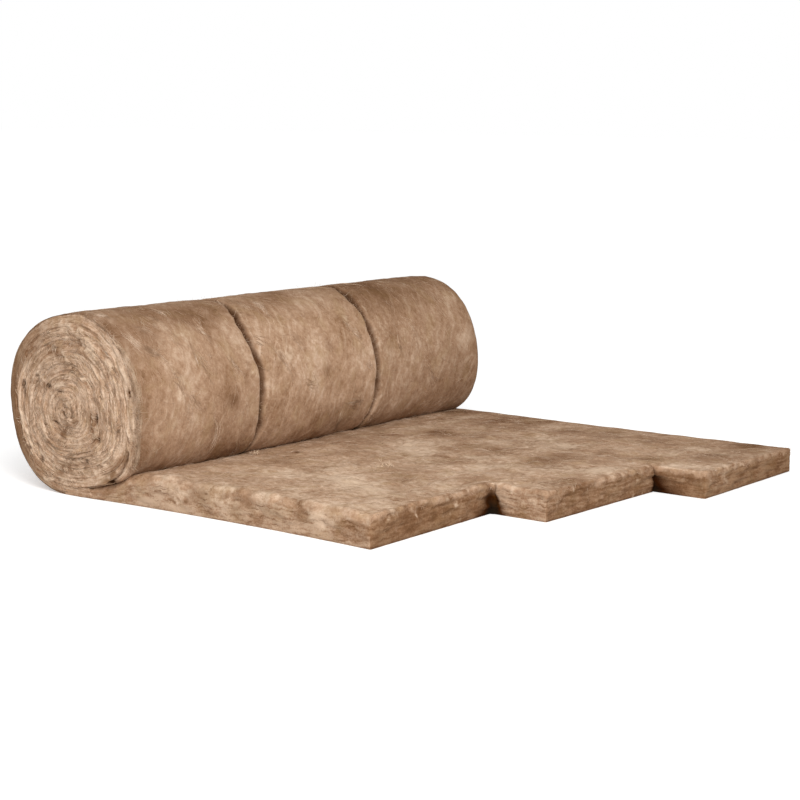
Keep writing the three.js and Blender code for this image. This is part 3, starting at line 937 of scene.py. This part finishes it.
def wool_material(name):
    """Wool: a tone summed from noises of several sizes picks its colour. The face is combed and crossed by
    fibres, and where it is bare, at cuts and worn places, its layers show. The marks then tan it, darken it
    with painted shade and pale it."""
    material = bpy.data.materials.new(name)
    start = blank(material)
    wool = start.add("ShaderNodeAttribute", {"attribute_name": "wool"}, output="Vector")
    place = start.add("ShaderNodeTexCoord", output="Object")
    cut, deep, shade, tan, pale = (start.mark(mark) for mark in ("cut", "deep", "shade", "tan", "pale"))
    swept = swayed(wool, noise(wool, 0.11, 2, output=1), 0.09)
    curled = 0.014 - 0.007 * shade.between(0.5, 0.8)
    ruffled = swayed(wool, noise(place, 0.016, 3, output=1), curled)

    clouds = noise(stretched(wool, (0.085, 0.10, 0.08)), 1.0, 4, 0.58)
    broad = noise(wool, 0.24, 2)
    sweeps = noise(stretched(swept, (0.12, 0.012, 0.03), np.radians(28)), 1.0, 2, 0.5)
    combed = noise(stretched(swept, (0.034, 0.0036, 0.012), np.radians(24)), 1.0, 3, 0.6)
    crossed = noise(stretched(swept, (0.026, 0.0032, 0.012), np.radians(-38)), 1.0, 3, 0.6)
    layers = noise(stretched(ruffled, (0.034, 0.034, 0.0050)), 1.0, 3, 0.6)
    arcs = noise(stretched(ruffled, (0.070, 0.070, 0.0130)), 1.0, 3, 0.6)
    dashes = noise(stretched(ruffled, (0.030, 0.030, 0.0040)), 1.0, 2, 0.5)
    tufts = noise(place, 0.034, 3, 0.6)
    fluffs = noise(place, 0.011, 4, 0.66)
    grain = noise(place, 0.0034, 3, 0.65)

    bare = (cut + (fluffs - 0.5) * 1.3 + (tufts - 0.5) * 1.5).between(0.25, 0.85)
    face = 1 - bare
    tone = 0.22 * clouds + 0.12 * broad + grain * (0.18 - 0.09 * face) + 0.16 * fluffs + 0.10 * tufts + 0.016
    tone = tone + face * (0.07 * sweeps + 0.06 * combed + 0.04 * crossed + 0.060)
    tone = tone + bare * (0.141 + (layers - 0.5) * 0.26 + (arcs - 0.5) * 0.16 + (dashes - 0.5) * 0.12)
    colour = tone.picked(
        (0.40, 116, 83, 56), (0.455, 152, 118, 90), (0.52, 180, 147, 120), (0.60, 214, 187, 162)
    )
    hairs = (combed.between(0.62, 0.74) + crossed.between(0.62, 0.74)) * 0.12 * face
    hairs = hairs + sweeps.between(0.58, 0.74) * 0.26 * face
    colour = mixed(hairs, colour, linear(222, 196, 172))
    colour = mixed(noise(wool, 0.045, 2).between(0.50, 0.68) * 0.22, colour, linear(172, 144, 104))
    pits = grain.between(0.36, 0.27) * clouds.between(0.56, 0.44) * 0.5
    colour = mixed(pits, colour, linear(98, 70, 47))

    # Tan and painted shade darken the colour: the tan mark everywhere, the shade mark where the wool is bare.
    colour = mixed(tan + shade * bare, colour, (0.42, 0.335, 0.26, 1), "MULTIPLY")
    gaps = bare * (layers.between(0.40, 0.28) * 0.35 + dashes.between(0.40, 0.30) * 0.55)
    colour = mixed(gaps, colour, linear(104, 74, 50))
    wisps = (pale * 1.2 + (fluffs - 0.5) * 1.5 * pale.between(0, 0.3)).between(0.15, 1.1)
    colour = mixed(wisps * 0.62, colour, linear(223, 198, 172))
    # Painted shade of the hollows, slits and notches, and the twig: brown at 1, black at 2.
    colour = mixed(deep, colour, (0.15, 0.068, 0.012, 1), "MULTIPLY")
    colour = mixed(deep - 1, colour, (0.010, 0.007, 0.004, 1))

    relief = 0.35 * face * combed + 0.25 * face * crossed + 0.5 * bare * layers + 0.4 * grain + 0.8 * fluffs
    bump = relief.add("ShaderNodeBump", inputs={"Strength": 0.6, "Distance": 0.0030, "Height": relief})
    shader = colour.add(
        "ShaderNodeBsdfPrincipled",
        inputs={"Base Color": colour, "Roughness": 0.95, "Specular IOR Level": 0.04, "Normal": bump},
    )
    shader.add("ShaderNodeOutputMaterial", inputs={"Surface": shader})
    return material


glass_wool = wool_material("glass_wool")
for piece in (outer_turn, inner_turns, laid_part):
    piece.data.materials.append(glass_wool)
    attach(piece, "root")
    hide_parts("blanket")

# Loose fibres
# Single combed fibres that lie on the wool, half sunk in it, and short tufts that stand out where a knife or
# a hand has pulled them: at the slits, the roll's rims and the trimmed edges. All are thin tapered strands.
strand_points = 5
strand_margin = 0.003
chance = np.random.default_rng(5)


def on_grid(grid, rows, columns):
    """Values of a grid at fractional rows and columns, blended between the four nearest."""
    row = np.clip(rows.astype(int), 0, grid.shape[0] - 2)
    column = np.clip(columns.astype(int), 0, grid.shape[1] - 2)
    down = np.clip(rows - row, 0, 1)[..., None]
    over = np.clip(columns - column, 0, 1)[..., None]
    upper = grid[row, column] * (1 - over) + grid[row, column + 1] * over
    lower = grid[row + 1, column] * (1 - over) + grid[row + 1, column + 1] * over
    return upper * (1 - down) + lower * down


def laid_lines(count, low, high, lengths, heading, scatter, curl):
    """Plane curves of fibres: each starts anywhere between two corners, with a heading that a slow noise
    turns and chance scatters, and its heading bends evenly along it. Gives (strands, points, 2)."""
    start = low + (np.asarray(high) - low) * chance.random((count, 2))
    drift = 1.6 * lumps(np.concatenate([start, start[:, :1] * 0], axis=1), 0.16, 31)
    first = heading + drift + scatter * chance.standard_normal(count)
    bend = curl * chance.standard_normal(count)
    along = np.linspace(-0.5, 0.5, strand_points)
    course = first[:, None] + bend[:, None] * along
    length = chance.uniform(*lengths, count)[:, None]
    step = length / (strand_points - 1) * np.stack([np.cos(course), np.sin(course)])
    return start[:, None, :] + np.cumsum(step, axis=-1).transpose(1, 2, 0) - step[..., :1].transpose(1, 2, 0)


def strands_piece(name, lines, outward, thickness, pale):
    """Three-sided tapered tubes along lines of (strands, points, 3), one corner turned outward: each ring is
    the line's point plus its radius times the outward and sideways directions. Pale says how pale each is."""
    ahead = np.gradient(lines, axis=1)
    ahead /= np.linalg.norm(ahead, axis=-1, keepdims=True) + 1e-12
    sideways = np.cross(ahead, outward)
    sideways /= np.linalg.norm(sideways, axis=-1, keepdims=True) + 1e-12
    upward = np.cross(sideways, ahead)
    along = np.linspace(0, 1, lines.shape[1])
    taper = 0.25 + 0.75 * np.sin(np.pi * along) ** 0.5
    radius = thickness[:, None] * taper
    rings = [
        lines + radius[..., None] * (np.cos(turn) * upward + np.sin(turn) * sideways)
        for turn in (0, full_turn / 3, 2 * full_turn / 3)
    ]
    places = np.stack(rings, axis=2)
    count, points = lines.shape[:2]
    ring = np.arange(3)
    base = (np.arange(count)[:, None, None] * points + np.arange(points - 1)[None, :, None]) * 3
    here = base + ring
    after = base + (ring + 1) % 3
    sides = np.stack([here, after, after + 3, here + 3], axis=-1).reshape(-1, 4)
    first = np.arange(count)[:, None] * points * 3
    start_caps = first + ring[::-1]
    end_caps = first + (points - 1) * 3 + ring
    faces = sides.tolist() + start_caps.tolist() + end_caps.tolist()
    places[..., 2] = np.maximum(places[..., 2], 0)
    marks = {"pale": np.broadcast_to(pale.reshape(-1, 1, 1), places.shape[:3])}
    return mesh_piece(name, places, faces, places, marks)


def surface_strands(name, grid, normals, row_marks, column_marks, lines, thickness, lift, pale):
    """Strands whose plane curves, in the surface's own lengths, are laid on its grid, a little proud of it
    and arched by their lift."""
    rows = np.interp(lines[..., 0], row_marks, np.arange(len(row_marks)))
    places = np.interp(lines[..., 1], column_marks, np.arange(len(column_marks)))
    ground = on_grid(grid, rows, places)
    outward = on_grid(normals, rows, places)
    arch = np.sin(np.linspace(0, np.pi, lines.shape[1])) * lift[:, None]
    return strands_piece(name, ground + outward * arch[..., None], outward, thickness, pale)


face_count = 4200
outer_normals = point_normals(outer_turn).reshape(outer_places.shape)
outer_face = slice(len(face_columns))
face_grid = (outer_places[:, outer_face], outer_normals[:, outer_face], outer_marks, face_columns)
face_high = (outer_marks[-1], blanket_width - 0.004)
lines = laid_lines(face_count, (0.0, 0.004), face_high, (0.018, 0.060), 0.5, 0.6, 0.9)
lines[..., 1] = np.clip(lines[..., 1], strand_margin, blanket_width - strand_margin)
roll_fibres = surface_strands(
    "roll_fibres", *face_grid, lines,
    chance.uniform(0.00011, 0.00023, face_count), chance.uniform(-0.0003, 0.0006, face_count),
    chance.uniform(0, 0.15, face_count),
)


def top_grid(values):
    """Rows and columns of the laid top, from the crease on, of a value of its points."""
    whole = np.full((len(x), 3), np.nan)
    whole[used] = values
    return whole[: plan_x.size].reshape(*plan_x.shape, 3)[under_count:]


laid_normals = point_normals(laid_part)
laid_count = 4200
tried_count = 6600
laid_high = (lane_reaches[-1], blanket_width)
lines = laid_lines(tried_count, (crease_x.min(), 0.0), laid_high, (0.015, 0.050), 1.2, 0.8, 0.9)
reach_at = np.take(lane_reaches, np.clip(lines[..., 1] // lane_width, 0, 2).astype(int))
inside = (lines[..., 0] < reach_at - strand_margin) & (lines[..., 1] > strand_margin)
inside &= lines[..., 1] < blanket_width - strand_margin
lines = lines[inside.all(axis=1)][:laid_count]
top_marks = plan_x[under_count:, len(columns) // 2]
laid_fibres = surface_strands(
    "laid_fibres", top_grid(laid_places), top_grid(laid_normals), top_marks, columns, lines,
    chance.uniform(0.00014, 0.00030, len(lines)), chance.uniform(-0.0003, 0.0010, len(lines)),
    chance.uniform(0, 0.3, len(lines)),
)

# On the ends the fibres follow the turns, and a quarter of them are curled and thicker: small pale bundles.
# None lies in the smooth band that painted shade darkens.
bare_reach = 60
bare_share = 0.65
end_margin = 0.0005
end_pieces = []
end_normals = point_normals(inner_turns).reshape(inner_places.shape)
end_marks = inner_edge_share * turn_pitch
end_high = (inner_marks[-1], turn_pitch)
near_block = slice(-1, -edge_points - 1, -1)
far_block = slice(len(inner_columns), len(inner_columns) + edge_points)
for name, block, count in (("near_end_fibres", near_block, 3800), ("far_end_fibres", far_block, 1200)):
    fine = laid_lines(count * 3 // 4, (inner_marks[0], 0.0), end_high, (0.008, 0.032), 0.0, 0.22, 0.7)
    curled = laid_lines(count - len(fine), (inner_marks[0], 0.0), end_high, (0.008, 0.024), 0.0, 0.45, 1.8)
    lines = np.concatenate([fine, curled])
    lines[..., 1] = np.clip(lines[..., 1], end_margin, turn_pitch - end_margin)
    thick = np.repeat([1.0, 1.7], [len(fine), len(curled)])
    turned = np.degrees(np.interp(lines[:, 0, 0], wound, table_angles)) - 360
    bare_band = (np.abs(turned - band_angle) < bare_reach) & (lines[:, 0, 1] < bare_share * turn_pitch)
    lines, thick = lines[~bare_band], thick[~bare_band]
    count = len(lines)
    end_pieces.append(surface_strands(
        name, inner_places[:, block], end_normals[:, block], inner_marks, end_marks, lines,
        thick * chance.uniform(0.0002, 0.0004, count), thick * chance.uniform(-0.0002, 0.0016, count),
        (thick - 0.9) * chance.uniform(0, 1.2, count),
    ))


def wisp_lines(starts, heading, scatter, lengths, per_wisp, points, spread):
    """Plane curves of wisps, each a loose bundle of nearly parallel fibres about a bending middle line: every
    fibre is set aside from it, and along it, by chance."""
    count = len(starts)
    total = count * per_wisp
    middle = np.repeat(starts, per_wisp, axis=0)
    course = np.repeat(heading + scatter * chance.standard_normal(count), per_wisp)
    bend = np.repeat(0.9 * chance.standard_normal(count), per_wisp) + 0.25 * chance.standard_normal(total)
    length = np.repeat(chance.uniform(*lengths, count), per_wisp) * chance.uniform(0.4, 1, total)
    course = course + 0.16 * chance.standard_normal(total)
    along = np.stack([np.cos(course), np.sin(course)])
    aside = np.stack([-np.sin(course), np.cos(course)])
    place = middle.T + spread * chance.standard_normal(total) * aside
    place = place + 0.25 * length * chance.standard_normal(total) * along
    turned = course[:, None] + bend[:, None] * np.linspace(-0.5, 0.5, points)
    step = length[:, None] / (points - 1) * np.stack([np.cos(turned), np.sin(turned)])
    run = np.cumsum(step, axis=-1) - step.sum(axis=-1, keepdims=True) / 2
    return (place[..., None] + run).transpose(1, 2, 0)


wisp_points = 8
wisp_fibres = 24
wisp_starts = np.concatenate([
    [(roll_radius * np.radians(turn), place) for turn, place in (
        (215, 0.150), (228, 0.190), (244, 0.115), (222, 0.075), (258, 0.140), (212, 0.250), (235, 0.300),
        (240, 0.450), (228, 0.500), (255, 0.520), (226, 0.700), (250, 0.720), (240, 0.850), (262, 0.950),
    )],
    (0.05, 0.02) + np.array([outer_marks[-1] - 0.1, blanket_width - 0.04]) * chance.random((40, 2)),
])
rim_count = 20
rim_starts = np.stack([
    blanket_length(np.radians(np.linspace(222, 300, rim_count))),
    chance.uniform(0.003, 0.010, rim_count),
], axis=-1)
lines = np.concatenate([
    wisp_lines(wisp_starts, 0.72, 0.35, (0.030, 0.085), wisp_fibres, wisp_points, 0.0050),
    wisp_lines(rim_starts, 0.0, 0.20, (0.020, 0.055), wisp_fibres, wisp_points, 0.0009),
])
lines[..., 0] = np.clip(lines[..., 0], 0, outer_marks[-1])
lines[..., 1] = np.clip(lines[..., 1], face_columns[0], blanket_width - strand_margin)
wisp_counts = [len(wisp_starts) * wisp_fibres, len(rim_starts) * wisp_fibres]
wisp_lift = np.repeat([1.0, 3.0], wisp_counts)
wisps = surface_strands(
    "wisps", *face_grid, lines,
    chance.uniform(0.00012, 0.00028, len(lines)), wisp_lift * chance.uniform(0.0001, 0.0008, len(lines)),
    np.repeat([0.1, 0.55], wisp_counts),
)


def tuft_lines(roots, outward, reach, spread, curl):
    """Lines of tufts: from each root they lean outward, by chance to one side, and bend over by chance."""
    lean = outward + spread * chance.standard_normal(roots.shape)
    lean /= np.linalg.norm(lean, axis=-1, keepdims=True)
    bend = curl * chance.standard_normal(roots.shape)
    along = np.linspace(-0.15, 1, strand_points)[None, :, None]
    return roots[:, None] + reach[:, None, None] * (lean[:, None] * along + bend[:, None] * along ** 2)


# Where the tufts stand, by their weights: on the rims and the slits' lips, most of all on the near rim, along
# the laid part's edges, and in two small clusters on its top: (place, place across, size).
fluff_places = [(0.465, 0.395, 0.008), (0.163, 0.349, 0.006)]
rim = np.zeros(outer_places.shape[:2])
rim[:, [0, 1, -1, -2, -3]] = 1.0
rim *= ramp(outer_places[..., 0] - eye_line, 0.1)
clear = outer_places[..., 2] > 0.07
near_rim = rim * (outer_places[..., 1] < 0) * bell(outer_places[..., 2], 0.17, 0.07) * clear
laid_weights = edge_fluff[used] * (x[used] > 0.2) + 0.06 * cut[used] * (y[used] < hair)
near_fluff = np.zeros(len(laid_places))
for fluff_x, fluff_y, size in fluff_places:
    away = np.hypot(laid_places[:, 0] - eye_line - fluff_x, laid_places[:, 1] - near_end - fluff_y)
    near_fluff += bell(away, 0, size) * (laid_places[:, 2] > 0.04)
tuft_roots = []
for places, normals, weights, count in (
    (outer_places, outer_normals, (rim + outer_lips * 0.14) * clear, 1500),
    (outer_places, outer_normals, near_rim, 500),
    (laid_places, laid_normals, laid_weights, 900),
    (laid_places, laid_normals, near_fluff, 90),
):
    picked = chance.choice(weights.size, count, p=weights.ravel() / weights.sum())
    tuft_roots.append((places.reshape(-1, 3)[picked], normals.reshape(-1, 3)[picked]))
roots, outward = (np.concatenate(parts) for parts in zip(*tuft_roots))
tuft_counts = [len(places) for places, _ in tuft_roots]
sizes = np.repeat([1.0, 0.9, 0.65, 0.8], tuft_counts)
stout = np.repeat([1.0, 1.6, 1.0, 2.4], tuft_counts)
lines = tuft_lines(roots, outward, sizes * chance.uniform(0.004, 0.012, len(roots)), 1.1, 0.5)
tufts = strands_piece(
    "tufts", lines, np.broadcast_to(outward[:, None], lines.shape),
    stout * chance.uniform(0.00014, 0.0003, len(roots)), (stout - 0.8) * chance.uniform(0, 0.8, len(roots)),
)


def fibre_material(name):
    """Loose fibre: the wool's own browns, and paler by its mark."""
    material = bpy.data.materials.new(name)
    start = blank(material)
    tone = noise(start.add("ShaderNodeTexCoord", output="Object"), 0.03, 2)
    colour = tone.picked((0.35, 146, 112, 84), (0.50, 180, 148, 121), (0.66, 216, 191, 168))
    colour = mixed(start.mark("pale"), colour, linear(234, 207, 177))
    shader = colour.add(
        "ShaderNodeBsdfPrincipled",
        inputs={"Base Color": colour, "Roughness": 0.8, "Specular IOR Level": 0.25},
    )
    shader.add("ShaderNodeOutputMaterial", inputs={"Surface": shader})
    return material


fibre = fibre_material("fibre")
for piece in (roll_fibres, laid_fibres, *end_pieces, wisps, tufts):
    piece.data.materials.append(fibre)
    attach(piece, "root")
    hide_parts("blanket")

# Floor and light
# A plain pale floor that keeps the object's shadow, a soft key light from the near end's side and above, and
# an even pale surrounding.
floor_size = 40
key_place = Vector((1.74, -1.86, 1.75))
key_power = 42
key_size = 1.3
even_strength = 1.2
even_angle = np.radians(40)
surround_strength = 0.50
floor_glow = 0.34
floor_colour = (0.94, 0.94, 0.94, 1)
white = (1, 1, 1, 1)


def background_share(start):
    """1 for what the camera sees, straight on or in gloss or glass, and 0 for the light that falls on
    things."""
    rays = ("Is Camera Ray", "Is Glossy Ray", "Is Transmission Ray")
    camera_ray, gloss_ray, glass_ray = (start.add("ShaderNodeLightPath", output=ray) for ray in rays)
    return start.math("MINIMUM", camera_ray + gloss_ray + glass_ray, 1.0)


floor_mesh = bpy.data.meshes.new("floor")
floor_corners = floor_size * np.array([(-1, -1, 0), (1, -1, 0), (1, 1, 0), (-1, 1, 0)])
floor_mesh.from_pydata(floor_corners, [], [(0, 1, 2, 3)])
floor = bpy.data.objects.new("floor", floor_mesh)
bpy.context.collection.objects.link(floor)
floor_material = bpy.data.materials.new("floor")
floor_start = blank(floor_material)
floor_paint = floor_start.add("ShaderNodeBsdfDiffuse", inputs={"Color": floor_colour})
floor_white = floor_start.add("ShaderNodeEmission", inputs={"Strength": floor_glow})
floor_seen = floor_start.add("ShaderNodeAddShader", inputs={0: floor_paint, 1: floor_white})
floor_seen = floor_start.add(
    "ShaderNodeMixShader", inputs={0: background_share(floor_start), 1: floor_paint, 2: floor_seen}
)
floor_start.add("ShaderNodeOutputMaterial", inputs={"Surface": floor_seen})
floor_mesh.materials.append(floor_material)


def lamp(name, kind, energy):
    """A lamp that shines from the key light's place on the middle of the floor."""
    light = bpy.data.objects.new(name, bpy.data.lights.new(name, kind))
    light.data.energy = energy
    light.location = key_place
    light.rotation_euler = (-key_place).to_track_quat("-Z", "Y").to_euler()
    bpy.context.collection.objects.link(light)
    return light


lamp("key", "AREA", key_power).data.size = key_size
lamp("even", "SUN", even_strength).data.angle = even_angle

world = bpy.data.worlds.new("surround")
bpy.context.scene.world = world
world_start = blank(world)
surround = world_start.add("ShaderNodeBackground", inputs={"Color": white, "Strength": surround_strength})
backdrop = world_start.add("ShaderNodeBackground", inputs={"Color": white, "Strength": 1.0})
surround = world_start.add(
    "ShaderNodeMixShader", inputs={0: background_share(world_start), 1: surround, 2: backdrop}
)
world_start.add("ShaderNodeOutputWorld", inputs={"Surface": surround})
bpy.context.scene.view_settings.view_transform = "Standard"
